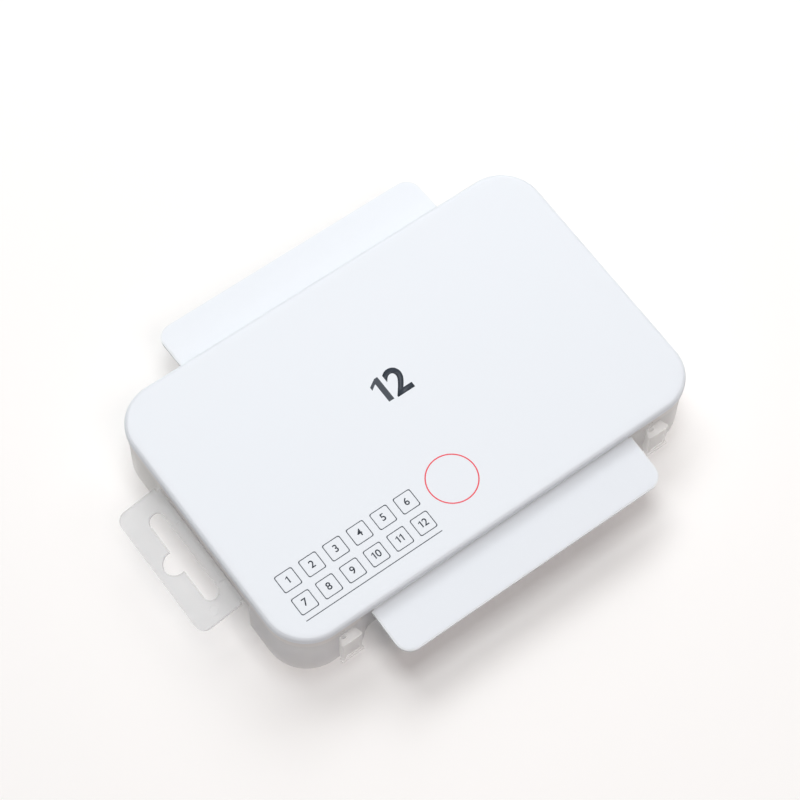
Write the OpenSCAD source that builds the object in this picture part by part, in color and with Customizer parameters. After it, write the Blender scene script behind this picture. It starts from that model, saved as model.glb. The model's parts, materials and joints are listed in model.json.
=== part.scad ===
// Shallow paint box: clear base tray, lift-off lid with two hinged latch flaps,
// a fold-down hang tab, and twelve sealed paint cups in four columns and three rows.
// Millimetres. Origin at the middle of the base's underside, +Z up, +X along the long side.

/* [Box] */
// Length of the lid
lid_l = 152; // [150:0.5:156]
// Width of the lid
lid_w = 97.4; // [96:0.2:101]
// Height of the closed box
box_h = 25; // [25:0.5:29]
// Corner radius of the lid
corner_r = 14; // [12:0.5:15]
// Height of the lid's side, from its top to the base's shoulder
lid_h = 5.8; // [5.7:0.1:6.4]
// Radius round the lid's top edge
lid_edge_r = 1.2; // [0.8:0.1:1.4]

/* [Base tray] */
// Wall thickness of the base
base_t = 1.2; // [1:0.1:1.3]
// Distance from the lid's outline in to the base's outline
base_inset = 0.6; // [0.4:0.1:0.8]
// Radius round the base's lower edge
base_edge_r = 1.0; // [0.6:0.1:1.1]
// Depth of the hollows that take the folded flaps
recess_d = 3.4; // [3:0.1:3.6]
// Height of the locating ribs between the cups
rib_h = 4; // [2:0.5:6]

/* [Flaps] */
// Half length of a flap along the box
flap_half = 48.3; // [40:0.1:49]
// Reach of a flap from its hinge line
flap_reach = 18; // [15:0.1:18.4]
// Thickness of a flap
flap_t = 1.2; // [1:0.1:1.4]
// Corner radius of a flap
flap_r = 5; // [3:0.5:6]
// Angle by which an open flap hangs below level
flap_droop = 5; // [0:1:8]

/* [Hang tab] */
// Half width of the tab
tab_half = 22.7; // [20:0.1:22.8]
// Reach of the tab from its hinge line
tab_reach = 15.9; // [15:0.1:15.9]
// Thickness of the tab
tab_t = 1.1; // [0.9:0.1:1.2]
// Angle by which the tab hangs below level
tab_droop = 14; // [0:1:20]
// Total length of the hang slot
slot_l = 33; // [30:0.5:34]
// Width of the hang slot
slot_w = 5.1; // [4.5:0.1:5.3]

/* [Cups] */
// Columns of cups along the box
cup_columns = 4; // [4]
// Rows of cups across the box
cup_rows = 3; // [3]
// Height of a cup
cup_h = 15.8; // [13:0.1:16]
// Wall thickness of a cup
cup_t = 0.7; // [0.5:0.1:0.8]

/* [Hidden] */
$fn = 64;

// Lid
label_t = 0.15;                          // thickness of every label film
lid_top = box_h - label_t;               // the shell's own top face
shoulder_z = box_h - lid_h;              // where the lid's side rests on the base
lid_rim_h = 2.3;                         // full-width rim at the top of the lid's side
lid_step = 0.3;                          // set-back of the skirt below the rim
lid_side_t = 1.4;
skirt_half = 55;                         // the skirt is drawn in behind each flap
skirt_in = 1.1;
skirt_run = 6;
skirt_lift = 0.8;                        // and ends this much above the shoulder there
lid_roof_t = 1.4;
lid_label_inset = lid_edge_r;
well_rib_h = 1.0;                        // ribs that part the mixing wells under the lid
well_rib_t = 1.2;
well_columns = 4;

// Base
base_l = lid_l - 2 * base_inset;
base_w = lid_w - 2 * base_inset;
base_r = corner_r - base_inset;
lip_gap = 0.3;                           // between the lid's side and the base's lip
lip_t = 1.1;
lip_inset = lid_side_t + lip_gap;
lip_top = shoulder_z + 3.1;
shoulder_t = 1.2;
flap_recess_half = flap_half + 5.1;
flap_recess_run = 8;                     // length of the S-curve at a hollow's end
tab_recess_half = tab_half + 2.6;
tab_recess_d = 3;
tab_recess_run = 5;
outside = 3;                             // how far the hollows' outlines pass the box's own
crossing = 0.01;                         // how much larger the hollows' arcs are
rib_t = 1;

// Living hinges
hinge_r = 0.3;                           // bead along the hinge line
hinge_gap = 0.2;                         // bead to the edge above it
web_l = 1.2;                             // thin strip between bead and plate
flap_axis_y = lid_w / 2 - 1.7;
flap_axis_z = shoulder_z + skirt_lift - hinge_gap - hinge_r;
flap_above = 0.5;                        // of the flap's thickness above the hinge line
flap_label_inset = 0.4;
ridge_r = 0.8;                           // latch ridge under the flap, for the ledge of the base
ridge_at = 3.5;
ridge_half = 34;
tab_axis_x = -base_l / 2;
tab_axis_z = box_h - 9;

// Side clips: boxes open below, narrow at the wall and wide in front
clip_x = 57.3;
clip_root = 5.2;
clip_front = 7.6;
clip_d = 3.2;
clip_top = box_h - 8;
clip_bottom = 5.2;
clip_t = 1;
clip_chamfer = 0.5;
clip_panel_d = 0.4;
clip_slot = [1.5, 1];
clip_foot = [clip_front + 0.4, 1.4, 0.8];
notch_w = 1.6;
notch_h = 1.6;
notch_at = -1.6;                         // notch in the lid's skirt, from the middle of a clip

// Cups
inner_left = -(base_l / 2 - tab_recess_d - base_t);
inner_right = lid_l / 2 - lip_inset - lip_t - 0.5;
inner_y = base_w / 2 - recess_d - base_t;
cup_mid_x = (inner_left + inner_right) / 2;
pitch_x = (inner_right - inner_left - 0.6) / cup_columns;
pitch_y = (2 * inner_y - 0.3) / cup_rows;
cup_z = base_t;
flange_l = pitch_x - 0.8;
flange_w = pitch_y - 0.8;
flange_t = 0.8;
flange_reach = 1.0;
cup_r = 5;
cup_edge_r = 3;
fill_depth = 2.2;                        // paint surface below the cup's top
seal_t = 0.15;
paint_colors = [
    "white", "khaki", "gold", "orange", "tomato", "crimson",
    "orchid", "mediumslateblue", "steelblue", "mediumseagreen", "sienna", "dimgray"
];

// Rectangle with round corners
module rounded(l, w, r) {
    square([l - 2 * r, w], center = true);
    square([l, w - 2 * r], center = true);
    for (x = [-1, 1], y = [-1, 1]) {
        translate([x * (l / 2 - r), y * (w / 2 - r)]) circle(r = r);
    }
}

// Section of a slab whose two lower edges have a radius e
module slab_profile(w, h, e) {
    translate([-w / 2, e]) square([w, h - e]);
    translate([e - w / 2, 0]) square([w - 2 * e, h]);
    for (x = [-1, 1]) translate([x * (w / 2 - e), e]) circle(r = e);
}

// Rounded slab standing on z = 0, with a radius e round its lower edge
module soft_slab(l, w, r, h, e) {
    rotate([90, 0, 90]) linear_extrude(l - 2 * r, center = true) slab_profile(w, h, e);
    rotate([90, 0, 0]) linear_extrude(w - 2 * r, center = true) slab_profile(l, h, e);
    for (x = [0, 1], y = [0, 1]) {
        mirror([x, 0, 0]) mirror([0, y, 0]) translate([l / 2 - r, w / 2 - r, 0]) rotate_extrude(angle = 90)
            intersection() {
                slab_profile(2 * r, h, e);
                square([r, h]);
            }
    }
}

// Hollow drawn into a side along y = 0, to -depth, with an S-curve of two equal arcs at each end.
// grow moves the whole curve inwards, which gives the inner face of a wall. Both arcs are a
// hair larger than their tangent radius, so that they cross each other and the straight sides
module side_recess(half, depth, run, grow) {
    r = (run * run + depth * depth) / (4 * depth);
    flat = half - run;
    middle = [flat + (r + grow) * run / (2 * r), r - depth - (r + grow) * (2 * r - depth) / (2 * r)];
    for (s = [0, 1]) {
        mirror([s, 0]) difference() {
            union() {
                polygon([
                    [-1, outside], [-1, -depth - grow], [flat, -depth - grow],
                    middle, [half, -grow], [half, outside]
                ]);
                intersection() {
                    translate([flat, r - depth]) circle(r = r + grow + crossing);
                    translate([flat - 1, -depth - grow - 1]) square([middle[0] - flat + 1, depth + grow + 1]);
                }
            }
            translate([half, -r]) circle(r = r - grow + crossing);
        }
    }
}

// Hollows for the folded flaps and the folded hang tab
module flap_recesses(grow) {
    for (a = [0, 180]) {
        rotate(a) translate([0, base_w / 2]) side_recess(flap_recess_half, recess_d, flap_recess_run, grow);
    }
}

module tab_recess(grow) {
    rotate(90) translate([0, base_l / 2]) side_recess(tab_recess_half, tab_recess_d, tab_recess_run, grow);
}

// Outline of the lid's skirt and of the base's lip, drawn in behind the flaps
module skirt_outline(inset) {
    difference() {
        rounded(lid_l - 2 * inset, lid_w - 2 * inset, corner_r - inset);
        for (a = [0, 180]) {
            rotate(a) translate([0, lid_w / 2]) side_recess(skirt_half, skirt_in, skirt_run, inset);
        }
    }
}

module cup_place(n) {
    column = n % cup_columns;
    row = floor(n / cup_columns);
    translate([
        cup_mid_x + (column - (cup_columns - 1) / 2) * pitch_x,
        ((cup_rows - 1) / 2 - row) * pitch_y,
        cup_z
    ]) children();
}

module clip_section(root_y, inset) {
    front_y = root_y - clip_d + inset;
    root = clip_root / 2 - inset;
    front = clip_front / 2 - inset;
    polygon([
        [-root, root_y],
        [-front, front_y + clip_chamfer],
        [clip_chamfer - front, front_y],
        [front - clip_chamfer, front_y],
        [front, front_y + clip_chamfer],
        [root, root_y]
    ]);
}

// Box on the wall, open below, with a sunk panel in front, a foot, and a slot through its top
module side_clip(x) {
    wall_y = -base_w / 2;
    front_y = wall_y - clip_d;
    clip_h = clip_top - clip_bottom;
    translate([x, 0, clip_bottom]) difference() {
        union() {
            linear_extrude(clip_h) clip_section(wall_y, 0);
            translate([-clip_root / 2, wall_y - 0.1, clip_h - clip_t]) cube([clip_root, 0.5, clip_t]);
            for (x = [-clip_root / 2, clip_root / 2 - clip_t]) {
                translate([x, wall_y - 0.3, 0]) cube([clip_t, 0.7, clip_h]);
            }
            translate([-clip_foot[0] / 2, front_y - 0.4, 0]) cube(clip_foot);
        }
        translate([0, 0, -1]) linear_extrude(clip_h - clip_t + 1) clip_section(wall_y, clip_t);
        translate([1.5 - clip_front / 2, front_y - 1, 1.4])
            cube([clip_front - 2.6, 1 + clip_panel_d, clip_h - 2]);
        translate([-clip_root / 2 + 0.4, wall_y - 0.4 - clip_slot[1], clip_h - clip_t - 1])
            cube([clip_slot[0], clip_slot[1], clip_t + 2]);
    }
}

module base_tray() {
    ledge_z = shoulder_z - shoulder_t;
    color("gainsboro", 0.7) {
        difference() {
            union() {
                difference() {
                    soft_slab(base_l, base_w, base_r, shoulder_z, base_edge_r);
                    translate([0, 0, -1]) linear_extrude(shoulder_z + 2) flap_recesses(0);
                    translate([0, 0, -1]) linear_extrude(tab_axis_z + hinge_r + hinge_gap + 1) tab_recess(0);
                }
                translate([0, 0, ledge_z]) linear_extrude(lip_top - ledge_z) skirt_outline(lip_inset);
            }
            translate([0, 0, base_t]) linear_extrude(ledge_z - base_t) difference() {
                rounded(base_l - 2 * base_t, base_w - 2 * base_t, base_r - base_t);
                flap_recesses(base_t);
                tab_recess(base_t);
            }
            translate([0, 0, ledge_z]) linear_extrude(shoulder_t + 0.1) difference() {
                skirt_outline(lip_inset + lip_t);
                flap_recesses(base_t);
            }
            translate([0, 0, shoulder_z]) linear_extrude(lip_top) skirt_outline(lip_inset + lip_t);
        }
        base_ribs();
        for (x = [-clip_x, clip_x]) side_clip(x);
    }
}

// Low ribs that keep the cups apart, run into the walls
module base_ribs() {
    left = inner_left - 0.2;
    half_w = inner_y + 0.2;
    for (i = [1 : cup_columns - 1]) {
        translate([cup_mid_x + (i - cup_columns / 2) * pitch_x - rib_t / 2, -half_w, base_t / 2])
            cube([rib_t, 2 * half_w, rib_h + base_t / 2]);
    }
    for (i = [1 : cup_rows - 1]) {
        translate([left, (i - cup_rows / 2) * pitch_y - rib_t / 2, base_t / 2])
            cube([base_l / 2 - base_t + 0.2 - left, rib_t, rib_h + base_t / 2]);
    }
}

// Plate on a living hinge along X: bead on the axis, thin web, then the plate, reaching to -y
module hinged_plate(half, reach, t, above, r) {
    rotate([0, 90, 0]) cylinder(r = hinge_r, h = 2 * half - 2, center = true, $fn = 32);
    translate([-half + 1, -web_l - 0.2, -hinge_r / 2]) cube([2 * half - 2, web_l + 0.2, hinge_r]);
    translate([0, 0, above - t]) linear_extrude(t) {
        translate([-half, -web_l - r]) square([2 * half, r]);
        translate([-half, r - reach]) square([2 * half, reach - web_l - r - 0.5]);
        translate([r - half, -reach]) square([2 * (half - r), r]);
        for (s = [-1, 1]) translate([s * (half - r), r - reach]) circle(r = r);
    }
}

module flap_at(side) {
    rotate(side < 0 ? 0 : 180) translate([0, -flap_axis_y, flap_axis_z]) rotate([flap_droop, 0, 0]) children();
}

module flap(side) {
    color("whitesmoke") flap_at(side) {
        hinged_plate(flap_half, flap_reach, flap_t, flap_above, flap_r);
        translate([0, -ridge_at, flap_above - flap_t]) rotate([0, 90, 0])
            cylinder(r = ridge_r, h = 2 * ridge_half, center = true, $fn = 32);
    }
}

module flap_label(side) {
    inset = flap_label_inset;
    r = flap_r - inset;
    half = flap_half - inset;
    reach = flap_reach - inset;
    color("white") flap_at(side) translate([0, 0, flap_above]) linear_extrude(label_t) {
        translate([-half, r - reach]) square([2 * half, reach - web_l - r]);
        translate([r - half, -reach]) square([2 * (half - r), r]);
        for (s = [-1, 1]) translate([s * (half - r), r - reach]) circle(r = r);
    }
}

// Hang tab with its euro slot: a long slot with a round middle on the outer side
module hang_tab() {
    slot_at = 6.4;
    lobe_r = 3.8;
    lobe_at = slot_at + 3.2;
    nib = [4, 1, 0.5];
    nib_at = [11.4, 1.9];
    mark_at = [19, 9];
    top = tab_t / 2;
    color("gainsboro", 0.7) translate([tab_axis_x, 0, tab_axis_z]) rotate(-90) rotate([tab_droop, 0, 0]) {
        difference() {
            hinged_plate(tab_half, tab_reach, tab_t, top, 3.3);
            translate([0, -slot_at, -tab_t]) linear_extrude(2 * tab_t) {
                square([slot_l - slot_w, slot_w], center = true);
                for (s = [-1, 1]) translate([s * (slot_l - slot_w) / 2, 0]) circle(d = slot_w);
                translate([0, slot_at - lobe_at]) circle(r = lobe_r);
            }
        }
        for (s = [-1, 1]) {
            translate([s * nib_at[0] - nib[0] / 2, -nib_at[1] - nib[1] / 2, top - 0.1]) cube(nib);
        }
        translate([mark_at[0], -mark_at[1], top - 0.1]) difference() {
            cylinder(r = 1.7, h = 0.22);
            translate([0, 0, -1]) cylinder(r = 1.3, h = 2);
        }
    }
}

module lid_shell() {
    color("whitesmoke") {
        difference() {
            union() {
                translate([0, 0, lid_top]) mirror([0, 0, 1]) soft_slab(lid_l, lid_w, corner_r, lid_rim_h, lid_edge_r);
                translate([0, 0, shoulder_z]) linear_extrude(lid_top - lid_rim_h - shoulder_z + 0.1)
                    skirt_outline(lid_step);
            }
            translate([0, 0, shoulder_z - 1]) linear_extrude(lid_top - lid_roof_t - shoulder_z + 1)
                skirt_outline(lid_side_t);
            for (x = [-clip_x, clip_x]) {
                translate([x + notch_at - notch_w / 2, -lid_w / 2 - 1, shoulder_z - 1])
                    cube([notch_w, lid_side_t + 3, notch_h + 1]);
            }
            for (a = [0, 180]) {
                rotate(a) translate([-flap_half - 0.4, flap_axis_y - 3, shoulder_z - 1])
                    cube([2 * flap_half + 0.8, 6, 1 + skirt_lift]);
            }
        }
        mixing_ribs();
    }
}

// Low ribs under the lid that part its mixing wells
module mixing_ribs() {
    inside_l = lid_l - 2 * (lip_inset + lip_t) - 2;
    inside_w = lid_w - 2 * (lip_inset + lip_t + skirt_in) - 1;
    rib_z = lid_top - lid_roof_t - well_rib_h;
    translate([-inside_l / 2, -well_rib_t / 2, rib_z]) cube([inside_l, well_rib_t, well_rib_h + 0.2]);
    for (i = [1 : well_columns - 1]) {
        translate([-inside_l / 2 + i * inside_l / well_columns - well_rib_t / 2, -inside_w / 2, rib_z])
            cube([well_rib_t, inside_w, well_rib_h + 0.2]);
    }
}

module lid_label() {
    color("white") translate([0, 0, lid_top]) linear_extrude(label_t)
        rounded(lid_l - 2 * lid_label_inset, lid_w - 2 * lid_label_inset, corner_r - lid_label_inset);
}

module paint_cup(n) {
    body_l = flange_l - 2 * flange_reach;
    body_w = flange_w - 2 * flange_reach;
    color("ghostwhite", 0.6) cup_place(n) difference() {
        union() {
            soft_slab(body_l, body_w, cup_r, cup_h, cup_edge_r);
            translate([0, 0, cup_h - flange_t]) linear_extrude(flange_t)
                rounded(flange_l, flange_w, cup_r + flange_reach);
        }
        translate([0, 0, cup_t]) soft_slab(
            body_l - 2 * cup_t, body_w - 2 * cup_t, cup_r - cup_t, cup_h, cup_edge_r - cup_t
        );
    }
}

module paint_fill(n) {
    inset = flange_reach + cup_t + 0.02;
    color(paint_colors[n]) cup_place(n) translate([0, 0, cup_t + 0.02]) soft_slab(
        flange_l - 2 * inset, flange_w - 2 * inset, cup_r - cup_t - 0.02,
        cup_h - cup_t - fill_depth, cup_edge_r - cup_t
    );
}

// Peel-off film with its pull tongue folded back over it
module cup_seal(n) {
    tongue_w = 7;
    tongue_l = 5;
    color("white", 0.7) cup_place(n) translate([0, 0, cup_h]) {
        linear_extrude(seal_t) rounded(flange_l - 0.6, flange_w - 0.6, cup_r + flange_reach - 0.3);
        translate([flange_l / 2 - tongue_l - 1, -tongue_w / 2, seal_t / 2])
            cube([tongue_l, tongue_w, seal_t * 1.5]);
        translate([flange_l / 2 - tongue_l - 1, 0, seal_t / 2])
            cylinder(d = tongue_w, h = seal_t * 1.5);
    }
}

base_tray();
hang_tab();
lid_shell();
lid_label();
flap(-1);  // front_flap
flap_label(-1);  // front_flap_label
flap(1);  // back_flap
flap_label(1);  // back_flap_label
for (n = [0 : 11]) {
    number = str(n < 9 ? "0" : "", n + 1);
    paint_cup(n);
    paint_fill(n);
    cup_seal(n);
}
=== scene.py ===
import json
import math

import bmesh
import bpy
from mathutils import Euler, Matrix, Vector

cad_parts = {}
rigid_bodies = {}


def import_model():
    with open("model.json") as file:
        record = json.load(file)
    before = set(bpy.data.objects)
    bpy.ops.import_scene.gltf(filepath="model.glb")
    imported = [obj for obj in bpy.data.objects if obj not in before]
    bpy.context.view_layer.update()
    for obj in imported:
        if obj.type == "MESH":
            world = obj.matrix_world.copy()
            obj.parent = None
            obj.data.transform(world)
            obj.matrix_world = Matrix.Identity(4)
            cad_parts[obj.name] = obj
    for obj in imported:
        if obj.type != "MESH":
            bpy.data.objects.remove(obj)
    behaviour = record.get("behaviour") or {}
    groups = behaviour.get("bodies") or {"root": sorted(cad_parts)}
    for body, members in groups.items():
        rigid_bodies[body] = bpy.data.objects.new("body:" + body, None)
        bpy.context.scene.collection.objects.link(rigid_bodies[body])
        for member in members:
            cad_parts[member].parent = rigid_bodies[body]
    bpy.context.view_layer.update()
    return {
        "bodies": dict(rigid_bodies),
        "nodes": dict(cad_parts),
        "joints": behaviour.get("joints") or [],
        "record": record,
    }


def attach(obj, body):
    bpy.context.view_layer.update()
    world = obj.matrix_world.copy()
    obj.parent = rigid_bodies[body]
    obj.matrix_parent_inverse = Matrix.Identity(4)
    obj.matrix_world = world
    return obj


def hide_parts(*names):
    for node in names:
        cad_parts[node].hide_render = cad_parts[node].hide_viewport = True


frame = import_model()
nodes = frame["nodes"]
scene = bpy.context.scene
mm = 0.001  # sizes below are in millimetres times this

cameraSet = {
    "place": (-0.2201, -0.2771, 0.7410),
    "turn": (26.54, -3.415, -37.315),  # degrees about x, y, z
    "lens": 119.3,
    "shift": (-0.1582, -0.0170),  # the photograph is cropped off centre
}

lightSet = {
    "far": 1.3,  # metres from the middle of the object
    "size": 0.5,
    "world": 0.16,
    "worldColor": (1.0, 0.91, 0.88),
    # degrees off straight up towards +x and +y, watts, colour
    "boxes": (
        (0, 0, 5.5, (0.965, 1.0, 1.0)),
        (0, 30, 3.7, (0.99, 1.0, 1.0)),
        (0, -30, 3.0, (1.0, 0.87, 0.84)),
        (45, 20, 1.5, (1.0, 0.98, 0.97)),
        (45, 50, 1.7, (1.0, 0.98, 0.97)),
        (25, 35, 3.2, (0.965, 1.0, 1.0)),
    ),
}

floorSet = {
    "size": 6.0,
    "color": (0.91, 0.902, 0.898),
    "lift": 0.06,  # light that only the camera sees, so that the paper reads as white
}


def makeCamera():
    data = bpy.data.cameras.new("photoCamera")
    data.lens = cameraSet["lens"]
    data.sensor_width = 36.0
    data.shift_x, data.shift_y = cameraSet["shift"]
    data.clip_start = 0.01
    camera = bpy.data.objects.new("photoCamera", data)
    camera.location = cameraSet["place"]
    camera.rotation_euler = Euler([math.radians(a) for a in cameraSet["turn"]], "XYZ")
    scene.collection.objects.link(camera)
    scene.camera = camera


def backdropRays(tree):
    # the camera, gloss and clear plastic see a bright backdrop, and its light on the object stays plain
    path = tree.nodes.new("ShaderNodeLightPath")
    rays = path.outputs["Is Camera Ray"]
    for kind in ("Is Glossy Ray", "Is Transmission Ray"):
        either = tree.nodes.new("ShaderNodeMath")
        either.operation = "MAXIMUM"
        tree.links.new(rays, either.inputs[0])
        tree.links.new(path.outputs[kind], either.inputs[1])
        rays = either.outputs["Value"]
    return rays


def makeLights():
    world = bpy.data.worlds.new("softRoom")
    world.use_nodes = True
    tree = world.node_tree
    tree.nodes.clear()
    out = tree.nodes.new("ShaderNodeOutputWorld")
    room = tree.nodes.new("ShaderNodeBackground")
    room.inputs["Color"].default_value = (*lightSet["worldColor"], 1.0)
    room.inputs["Strength"].default_value = lightSet["world"]
    white = tree.nodes.new("ShaderNodeBackground")
    white.inputs["Color"].default_value = (1.0, 1.0, 1.0, 1.0)
    mix = tree.nodes.new("ShaderNodeMixShader")
    tree.links.new(backdropRays(tree), mix.inputs["Fac"])
    tree.links.new(room.outputs["Background"], mix.inputs[1])
    tree.links.new(white.outputs["Background"], mix.inputs[2])
    tree.links.new(mix.outputs["Shader"], out.inputs["Surface"])
    scene.world = world

    for count, (sideways, backwards, power, color) in enumerate(lightSet["boxes"], 1):
        tilt = Vector((math.tan(math.radians(sideways)), math.tan(math.radians(backwards)), 1.0))
        data = bpy.data.lights.new(f"softBox{count}", "AREA")
        data.shape = "SQUARE"
        data.size = lightSet["size"]
        data.energy = power
        data.color = color
        box = bpy.data.objects.new(f"softBox{count}", data)
        box.location = tilt.normalized() * lightSet["far"]
        box.rotation_euler = (-tilt).to_track_quat("-Z", "Y").to_euler()
        scene.collection.objects.link(box)


def makeFloor():
    grid = bmesh.new()
    bmesh.ops.create_grid(grid, x_segments=1, y_segments=1, size=floorSet["size"] / 2)
    mesh = bpy.data.meshes.new("paperFloor")
    grid.to_mesh(mesh)
    grid.free()
    floor = bpy.data.objects.new("paperFloor", mesh)
    scene.collection.objects.link(floor)
    material = bpy.data.materials.new("whitePaper")
    material.use_nodes = True
    tree = material.node_tree
    tree.nodes.clear()
    out = tree.nodes.new("ShaderNodeOutputMaterial")
    paper = tree.nodes.new("ShaderNodeBsdfDiffuse")
    paper.inputs["Color"].default_value = (*floorSet["color"], 1.0)
    glow = tree.nodes.new("ShaderNodeEmission")
    scale = tree.nodes.new("ShaderNodeMath")
    scale.operation = "MULTIPLY"
    scale.inputs[1].default_value = floorSet["lift"]
    both = tree.nodes.new("ShaderNodeAddShader")
    tree.links.new(backdropRays(tree), scale.inputs[0])
    tree.links.new(scale.outputs["Value"], glow.inputs["Strength"])
    tree.links.new(paper.outputs["BSDF"], both.inputs[0])
    tree.links.new(glow.outputs["Emission"], both.inputs[1])
    tree.links.new(both.outputs["Shader"], out.inputs["Surface"])
    mesh.materials.append(material)


scene.view_settings.view_transform = "Standard"
makeCamera()
makeLights()
makeFloor()
print("camera, light and floor made")


def newGroup(name, inputs, outputs):
    group = bpy.data.node_groups.new(name, "ShaderNodeTree")
    for label, kind, value in inputs:
        socket = group.interface.new_socket(label, in_out="INPUT", socket_type=kind)
        socket.default_value = value
    for label, kind in outputs:
        group.interface.new_socket(label, in_out="OUTPUT", socket_type=kind)
    start = group.nodes.new("NodeGroupInput")
    end = group.nodes.new("NodeGroupOutput")
    return group, start, end


def makeMouldedSkin():
    # fine satin grain of a moulded plastic, with a slow waviness under it
    group, start, end = newGroup(
        "mouldedSkin",
        [
            ("Grain Scale", "NodeSocketFloat", 4000.0),
            ("Wave Scale", "NodeSocketFloat", 60.0),
            ("Grain", "NodeSocketFloat", 0.3),
            ("Wave", "NodeSocketFloat", 0.3),
        ],
        [("Height", "NodeSocketFloat")],
    )
    nodesIn = group.nodes
    link = group.links.new
    place = nodesIn.new("ShaderNodeTexCoord")
    grain = nodesIn.new("ShaderNodeTexNoise")
    wave = nodesIn.new("ShaderNodeTexNoise")
    wave.inputs["Detail"].default_value = 3.0
    grainPart = nodesIn.new("ShaderNodeMath")
    grainPart.operation = "MULTIPLY"
    both = nodesIn.new("ShaderNodeMath")
    both.operation = "MULTIPLY_ADD"
    link(place.outputs["Object"], grain.inputs["Vector"])
    link(place.outputs["Object"], wave.inputs["Vector"])
    link(start.outputs["Grain Scale"], grain.inputs["Scale"])
    link(start.outputs["Wave Scale"], wave.inputs["Scale"])
    link(grain.outputs["Fac"], grainPart.inputs[0])
    link(start.outputs["Grain"], grainPart.inputs[1])
    link(wave.outputs["Fac"], both.inputs[0])
    link(start.outputs["Wave"], both.inputs[1])
    link(grainPart.outputs["Value"], both.inputs[2])
    link(both.outputs["Value"], end.inputs["Height"])
    return group


def makeHandling():
    # faint dust specks and rubbed patches
    group, start, end = newGroup(
        "handling",
        [
            ("Patch Scale", "NodeSocketFloat", 25.0),
            ("Speck Scale", "NodeSocketFloat", 350.0),
            ("Speck Size", "NodeSocketFloat", 0.06),
        ],
        [("Patch", "NodeSocketFloat"), ("Speck", "NodeSocketFloat")],
    )
    nodesIn = group.nodes
    link = group.links.new
    place = nodesIn.new("ShaderNodeTexCoord")
    patch = nodesIn.new("ShaderNodeTexNoise")
    patch.inputs["Detail"].default_value = 4.0
    speck = nodesIn.new("ShaderNodeTexVoronoi")
    near = nodesIn.new("ShaderNodeMath")
    near.operation = "LESS_THAN"
    link(place.outputs["Object"], patch.inputs["Vector"])
    link(place.outputs["Object"], speck.inputs["Vector"])
    link(start.outputs["Patch Scale"], patch.inputs["Scale"])
    link(start.outputs["Speck Scale"], speck.inputs["Scale"])
    link(speck.outputs["Distance"], near.inputs[0])
    link(start.outputs["Speck Size"], near.inputs[1])
    link(patch.outputs["Fac"], end.inputs["Patch"])
    link(near.outputs["Value"], end.inputs["Speck"])
    return group


mouldedSkin = makeMouldedSkin()
handling = makeHandling()


def letLightThrough(tree, shader, look):
    # light soaks through thin walls, a share of it passes straight on, and lamps throw a fainter shadow
    link = tree.links.new
    edge = tree.nodes.new("ShaderNodeLayerWeight")
    edge.inputs["Blend"].default_value = 0.3
    # painted shade: the colour turns towards a darker edge colour where a wall is seen edge on
    rim = tree.nodes.new("ShaderNodeMix")
    rim.data_type = "RGBA"
    rim.inputs["B"].default_value = (*look.get("edgeShadeColor", look["color"]), 1.0)
    link(edge.outputs["Facing"], rim.inputs["Factor"])
    link(shader.inputs["Base Color"].links[0].from_socket, rim.inputs["A"])
    link(rim.outputs["Result"], shader.inputs["Base Color"])

    soak = tree.nodes.new("ShaderNodeBsdfTranslucent")
    wall = tree.nodes.new("ShaderNodeMixShader")
    wall.inputs["Fac"].default_value = look["glow"]
    link(rim.outputs["Result"], soak.inputs["Color"])
    link(shader.outputs["BSDF"], wall.inputs[1])
    link(soak.outputs["BSDF"], wall.inputs[2])

    share = tree.nodes.new("ShaderNodeMapRange")
    share.inputs["To Min"].default_value = look["clear"]
    share.inputs["To Max"].default_value = look["clear"] * 0.2  # a wall seen edge on hides more
    link(edge.outputs["Facing"], share.inputs["Value"])
    path = tree.nodes.new("ShaderNodeLightPath")
    shade = tree.nodes.new("ShaderNodeMath")
    shade.operation = "MULTIPLY"
    shade.inputs[1].default_value = look["pass"]
    link(path.outputs["Is Shadow Ray"], shade.inputs[0])
    most = tree.nodes.new("ShaderNodeMath")
    most.operation = "MAXIMUM"
    link(share.outputs["Result"], most.inputs[0])
    link(shade.outputs["Value"], most.inputs[1])

    through = tree.nodes.new("ShaderNodeBsdfTransparent")
    through.inputs["Color"].default_value = (*look.get("throughColor", (0.98, 0.98, 0.97)), 1.0)
    both = tree.nodes.new("ShaderNodeMixShader")
    link(most.outputs["Value"], both.inputs["Fac"])
    link(wall.outputs["Shader"], both.inputs[1])
    link(through.outputs["BSDF"], both.inputs[2])
    link(both.outputs["Shader"], tree.nodes["Material Output"].inputs["Surface"])


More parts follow.
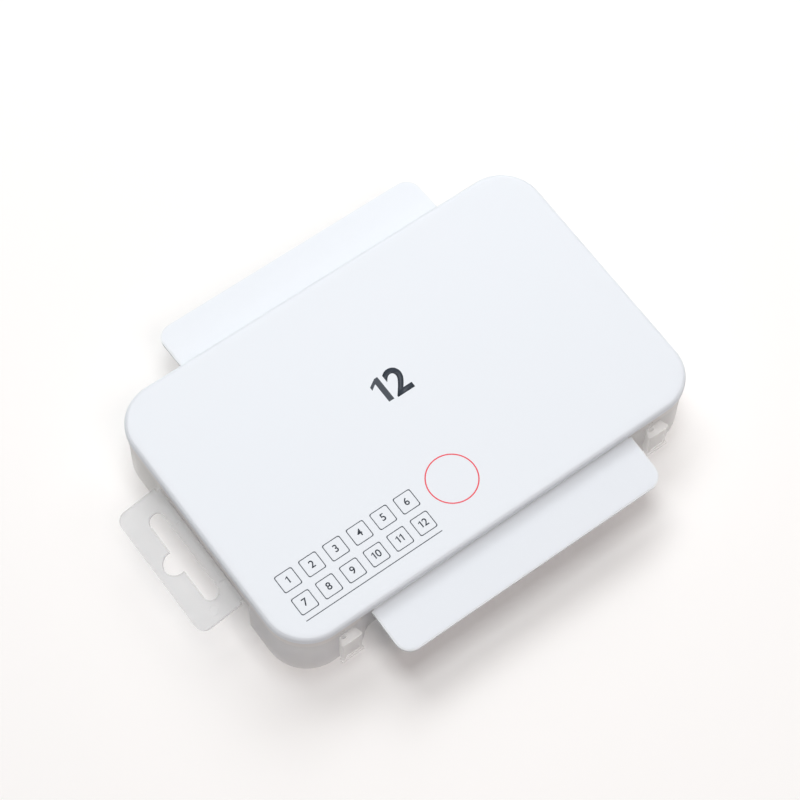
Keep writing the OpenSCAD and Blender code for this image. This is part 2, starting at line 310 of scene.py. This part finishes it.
def plastic(name, look):
    # one moulded plastic: two close colours mixed in slow patches, a satin grain and a rougher rub
    material = bpy.data.materials.new(name)
    material.use_nodes = True
    tree = material.node_tree
    link = tree.links.new
    shader = tree.nodes["Principled BSDF"]
    shader.inputs["IOR"].default_value = 1.49  # polypropylene, and near enough for paint and ink
    shader.inputs["Transmission Weight"].default_value = look.get("transmission", 0.0)
    shader.inputs["Specular IOR Level"].default_value = look.get("specular", 0.5)

    skin = tree.nodes.new("ShaderNodeGroup")
    skin.node_tree = mouldedSkin
    skin.inputs["Wave Scale"].default_value = look.get("waveScale", 60.0)
    worn = tree.nodes.new("ShaderNodeGroup")
    worn.node_tree = handling
    worn.inputs["Speck Size"].default_value = look.get("speckSize", 0.05)

    tint = tree.nodes.new("ShaderNodeMix")
    tint.data_type = "RGBA"
    tint.inputs["A"].default_value = (*look["color"], 1.0)
    tint.inputs["B"].default_value = (*look["patchColor"], 1.0)
    link(worn.outputs["Patch"], tint.inputs["Factor"])
    dust = tree.nodes.new("ShaderNodeMix")
    dust.data_type = "RGBA"
    dust.inputs["B"].default_value = (0.55, 0.53, 0.50, 1.0)
    dustPart = tree.nodes.new("ShaderNodeMath")
    dustPart.operation = "MULTIPLY"
    dustPart.inputs[1].default_value = look.get("speck", 0.15)
    link(worn.outputs["Speck"], dustPart.inputs[0])
    link(dustPart.outputs["Value"], dust.inputs["Factor"])
    link(tint.outputs["Result"], dust.inputs["A"])
    link(dust.outputs["Result"], shader.inputs["Base Color"])

    rough = tree.nodes.new("ShaderNodeMapRange")
    rough.inputs["To Min"].default_value = look["roughness"][0]
    rough.inputs["To Max"].default_value = look["roughness"][1]
    link(worn.outputs["Patch"], rough.inputs["Value"])
    link(rough.outputs["Result"], shader.inputs["Roughness"])

    bump = tree.nodes.new("ShaderNodeBump")
    bump.inputs["Strength"].default_value = look.get("bump", 0.1)
    bump.inputs["Distance"].default_value = look.get("bumpDepth", 0.02) * mm
    link(skin.outputs["Height"], bump.inputs["Height"])
    link(bump.outputs["Normal"], shader.inputs["Normal"])
    if "pass" in look:
        letLightThrough(tree, shader, look)
    return material


looks = {
    "whiteFilm": {
        "color": (0.755, 0.795, 0.845),
        "patchColor": (0.77, 0.805, 0.855),
        "glow": 0.0,
        "clear": 0.0,
        "pass": 0.72,  # the lid is opaque to the eye, but lamps light the box through it
        "roughness": (0.38, 0.48),
        "specular": 0.35,
        "bump": 0.15,
        "speck": 0.25,
        "speckSize": 0.03,
    },
    "lidPlastic": {
        "color": (0.72, 0.71, 0.70),
        "patchColor": (0.68, 0.67, 0.665),
        "glow": 0.0,
        "clear": 0.0,
        "pass": 0.72,  # the lid is opaque to the eye, but lamps light the box through it
        "roughness": (0.34, 0.44),
        "specular": 0.4,
    },
    "flapPlastic": {
        "color": (0.76, 0.79, 0.82),
        "patchColor": (0.73, 0.76, 0.79),
        "roughness": (0.34, 0.44),
        "specular": 0.4,
    },
    "darkInk": {
        "color": (0.018, 0.026, 0.040),
        "patchColor": (0.024, 0.032, 0.046),
        "roughness": (0.35, 0.45),
        "specular": 0.3,
        "speck": 0.0,
    },
    "redInk": {
        "color": (0.78, 0.045, 0.08),
        "patchColor": (0.74, 0.06, 0.09),
        "roughness": (0.35, 0.45),
        "specular": 0.3,
        "speck": 0.0,
    },
    "frostedPlastic": {
        "color": (0.975, 0.972, 0.968),
        "patchColor": (0.94, 0.937, 0.935),
        # painted shade: darker colour for the frosted wall where it is seen edge on
        "edgeShadeColor": (0.86, 0.855, 0.85),
        "throughColor": (0.99, 0.99, 0.99),
        "roughness": (0.38, 0.5),
        "transmission": 0.1,
        "glow": 0.5,
        "clear": 0.42,
        "pass": 0.88,
        "bump": 0.3,
    },
    "clearPlastic": {
        "color": (0.84, 0.845, 0.85),
        "patchColor": (0.80, 0.805, 0.81),
        # painted shade: dark outline colour for the clear plastic where it is seen edge on
        "edgeShadeColor": (0.36, 0.37, 0.39),
        "throughColor": (0.96, 0.965, 0.97),
        "roughness": (0.14, 0.24),
        "transmission": 0.1,
        "glow": 0.35,
        "clear": 0.68,
        "pass": 0.93,
        "bump": 0.12,
    },
    "cupPlastic": {
        "color": (0.92, 0.92, 0.92),
        "patchColor": (0.89, 0.90, 0.90),
        "roughness": (0.2, 0.3),
        "glow": 0.3,
        "clear": 0.8,
        "pass": 0.9,
    },
    "sealFilm": {
        "color": (0.93, 0.93, 0.94),
        "patchColor": (0.88, 0.89, 0.90),
        "roughness": (0.2, 0.4),
        "glow": 0.3,
        "clear": 0.7,
        "pass": 0.9,
        "bump": 0.5,
        "bumpDepth": 0.1,
        "waveScale": 200.0,
    },
}

materials = {name: plastic(name, look) for name, look in looks.items()}
print("plastics made")


def dress(node, material):
    mesh = nodes[node].data
    mesh.materials.clear()
    mesh.materials.append(material)


def whiteAbove(material, height, blend, top):
    # the white film covers everything above this height, and the plastic shows below it
    tree = material.node_tree
    shader = tree.nodes["Principled BSDF"]
    below = shader.inputs["Base Color"].links[0].from_socket
    place = tree.nodes.new("ShaderNodeTexCoord")
    split = tree.nodes.new("ShaderNodeSeparateXYZ")
    edge = tree.nodes.new("ShaderNodeMapRange")
    edge.inputs["From Min"].default_value = (height - blend) * mm
    edge.inputs["From Max"].default_value = (height + blend) * mm
    film = tree.nodes.new("ShaderNodeMix")
    film.data_type = "RGBA"
    film.inputs["B"].default_value = (*top, 1.0)
    tree.links.new(place.outputs["Object"], split.inputs["Vector"])
    tree.links.new(split.outputs["Z"], edge.inputs["Value"])
    tree.links.new(edge.outputs["Result"], film.inputs["Factor"])
    tree.links.new(below, film.inputs["A"])
    tree.links.new(film.outputs["Result"], shader.inputs["Base Color"])


whiteAbove(materials["lidPlastic"], 22.6, 0.05, looks["whiteFilm"]["color"])

dress("base_tray", materials["frostedPlastic"])
dress("hang_tab", materials["clearPlastic"])
dress("lid_shell", materials["lidPlastic"])
for side in ("front", "back"):
    dress(side + "_flap", materials["flapPlastic"])
    dress(side + "_flap_label", materials["whiteFilm"])


def addPiece(name, shape, material, body):
    # a finished bmesh becomes a piece that rides on its body
    mesh = bpy.data.meshes.new(name)
    bmesh.ops.recalc_face_normals(shape, faces=shape.faces)
    shape.to_mesh(mesh)
    shape.free()
    mesh.materials.append(material)
    piece = bpy.data.objects.new(name, mesh)
    scene.collection.objects.link(piece)
    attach(piece, body)
    return piece


def raiseFaces(shape, faces, height):
    # gives flat faces a thickness and returns the raised ones
    raised = bmesh.ops.extrude_face_region(shape, geom=faces)["geom"]
    points = [item for item in raised if isinstance(item, bmesh.types.BMVert)]
    bmesh.ops.translate(shape, vec=(0.0, 0.0, height * mm), verts=points)
    return [item for item in raised if isinstance(item, bmesh.types.BMFace)]


def flatPlate(shape, place, halfLength, halfWidth, radius=0.0, steps=1):
    # a flat face with square or round corners
    old = set(shape.faces)
    corners = bmesh.ops.create_grid(shape, x_segments=1, y_segments=1, size=1.0)["verts"]
    bmesh.ops.scale(shape, vec=(halfLength * mm, halfWidth * mm, 1.0), verts=corners)
    bmesh.ops.translate(shape, vec=Vector(place) * mm, verts=corners)
    if radius:
        bmesh.ops.bevel(
            shape, geom=corners, offset=radius * mm, offset_type="OFFSET", affect="VERTICES",
            segments=steps, profile=0.5, material=-1,
        )
    return next(face for face in shape.faces if face not in old)


film = {
    "halfLength": 76.0,
    "halfWidth": 48.7,
    "radius": 14.0,
    "cornerSteps": 24,
    "bottom": 24.70,
    # inset from the lid's outline and height, from the rim's rounding up to the flat top
    "rise": (
        (0.75, 24.766), (0.9, 24.823), (1.1, 24.877), (1.3, 24.915), (1.6, 24.950),
        (1.9, 24.971), (2.3, 24.986), (2.8, 24.992),
    ),
}


def makeLidFilm():
    shape = bmesh.new()
    inset, height = film["rise"][0]
    foot = flatPlate(
        shape, (0.0, 0.0, film["bottom"]), film["halfLength"] - inset, film["halfWidth"] - inset,
        film["radius"] - inset, film["cornerSteps"],
    )
    top = raiseFaces(shape, [foot], height - film["bottom"])
    for nextInset, nextHeight in film["rise"][1:]:
        bmesh.ops.inset_region(
            shape, faces=top, thickness=(nextInset - inset) * mm, depth=(nextHeight - height) * mm,
            use_even_offset=True,
        )
        inset, height = nextInset, nextHeight
    for face in shape.faces:
        face.smooth = len(face.verts) == 4
    piece = addPiece("lidFilm", shape, materials["whiteFilm"], "lid")
    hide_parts("lid_label")


makeLidFilm()

ink = {
    "low": 24.9915,
    "thick": 0.0085,
    "chartLeft": -66.5,
    "chartTop": -24.6,
    "columns": 6,
    "cell": 6.2,
    "cellCorner": 0.2,  # share of half a cell
    "cornerSteps": 6,
    "gap": 2.3,
    "line": 0.28,
    "ruleGap": 1.8,
    "chartNumber": {"size": 3.4, "weight": 0.04},
    "bigNumber": {"size": 13.0, "weight": 0.32},
    "bigPlace": (-2.0, 5.8),
    "ringPlace": (-5.5, -29.5),
    "ringRadius": 8.2,
    "ringLine": 0.42,
    "ringSteps": 128,
}

# shares of a digit's size
digits = {
    "oneSpace": 0.40,
    "space": 0.54,
    "oneShift": 0.06,
    "oneHalf": 0.049,
    "oneFoot": -0.30,
    "oneTop": 0.382,
    "flagOut": 0.20,
    "flagHeights": (0.25, 0.155, 0.255),  # outer top, outer bottom, and where it joins the stem
}


def addFrame(shape, outer, inner):
    # the two faces go, and a flat band joins their edges
    edges = [edge for face in (outer, inner) for edge in face.edges]
    bmesh.ops.delete(shape, geom=[outer, inner], context="FACES_ONLY")
    bmesh.ops.bridge_loops(shape, edges=edges)


def addOne(shape, place, size, weight):
    # a one with a flag, which the font draws as a bare bar
    half = digits["oneHalf"] + weight / size
    flag = -digits["flagOut"] - weight / size
    outerTop, outerBottom, joint = digits["flagHeights"]
    corners = [
        (-half, digits["oneFoot"]), (half, digits["oneFoot"]), (half, digits["oneTop"]),
        (-half * 0.2, digits["oneTop"]), (flag, outerTop), (flag, outerBottom), (-half, joint),
    ]
    shape.faces.new([
        shape.verts.new(Vector((
            place[0] + (x + digits["oneShift"]) * size, place[1] + y * size, ink["low"],
        )) * mm)
        for x, y in corners
    ])


def addDigit(shape, digit, place, size, weight):
    # a plain digit from Blender's own font
    curve = bpy.data.curves.new("digit", "FONT")
    curve.body = digit
    curve.size = size * mm
    curve.align_x = "CENTER"
    curve.align_y = "CENTER"
    curve.offset = weight * mm
    holder = bpy.data.objects.new("digit", curve)
    scene.collection.objects.link(holder)
    bpy.context.view_layer.update()
    mesh = bpy.data.meshes.new_from_object(holder)
    mesh.transform(Matrix.Translation(Vector((*place, ink["low"])) * mm))
    bpy.data.objects.remove(holder)
    shape.from_mesh(mesh)


def addNumber(shape, number, place, size, weight):
    text = str(number)
    widths = [digits["oneSpace" if digit == "1" else "space"] * size for digit in text]
    left = place[0] - sum(widths) / 2
    for digit, width in zip(text, widths):
        middle = (left + width / 2, place[1])
        if digit == "1":
            addOne(shape, middle, size, weight)
        else:
            addDigit(shape, digit, middle, size, weight)
        left += width


def addPrint(name, flat, material):
    # flat ink gets its thickness and becomes a piece on the lid
    bmesh.ops.remove_doubles(flat, verts=flat.verts, dist=0.0001 * mm)
    raiseFaces(flat, flat.faces[:], ink["thick"])
    addPiece(name, flat, materials[material], "lid")


def makeChart():
    chart = bmesh.new()
    half = ink["cell"] / 2
    inside = half - ink["line"]
    step = ink["cell"] + ink["gap"]
    for count in range(12):
        row, column = divmod(count, ink["columns"])
        middle = (ink["chartLeft"] + half + column * step, ink["chartTop"] - half - row * step)
        frame = [
            flatPlate(chart, (*middle, ink["low"]), size, size, size * ink["cellCorner"], ink["cornerSteps"])
            for size in (half, inside)
        ]
        addFrame(chart, *frame)
        addNumber(chart, count + 1, middle, **ink["chartNumber"])
    halfRule = (ink["columns"] * step - ink["gap"]) / 2
    below = ink["chartTop"] - 2 * step + ink["gap"] - ink["ruleGap"] - ink["line"] / 2
    flatPlate(chart, (ink["chartLeft"] + halfRule, below, ink["low"]), halfRule, ink["line"] / 2)
    addPrint("lidChart", chart, "darkInk")


def makeBigNumber():
    number = bmesh.new()
    addNumber(number, 12, ink["bigPlace"], **ink["bigNumber"])
    addPrint("lidNumber", number, "darkInk")


def makeRing():
    ring = bmesh.new()
    discs = []
    for radius in (ink["ringRadius"], ink["ringRadius"] - ink["ringLine"]):
        made = bmesh.ops.create_circle(
            ring, cap_ends=True, segments=ink["ringSteps"], radius=radius * mm,
            matrix=Matrix.Translation(Vector((*ink["ringPlace"], ink["low"])) * mm),
        )
        discs.append(made["verts"][0].link_faces[0])
    addFrame(ring, *discs)
    addPrint("lidRing", ring, "redInk")


makeChart()
makeBigNumber()
makeRing()
print("lid film and print made")

paintColors = [
    (0.87, 0.86, 0.83), (0.85, 0.75, 0.22), (0.88, 0.52, 0.05), (0.80, 0.22, 0.03),
    (0.68, 0.07, 0.04), (0.34, 0.01, 0.03), (0.62, 0.12, 0.30), (0.13, 0.05, 0.32),
    (0.02, 0.06, 0.40), (0.02, 0.22, 0.07), (0.15, 0.05, 0.02), (0.012, 0.012, 0.014),
]
for count, color in enumerate(paintColors, 1):
    number = f"{count:02d}"
    paint = {
        "color": color,
        "patchColor": [c * 0.92 for c in color],
        "roughness": (0.25, 0.45),
        "bump": 0.6,
        "bumpDepth": 0.3,
        "waveScale": 90.0,
        "speck": 0.0,
    }
    dress("paint_fill_" + number, plastic("gouache" + number, paint))
    dress("paint_cup_" + number, materials["cupPlastic"])
    dress("cup_seal_" + number, materials["sealFilm"])
print("pieces dressed")
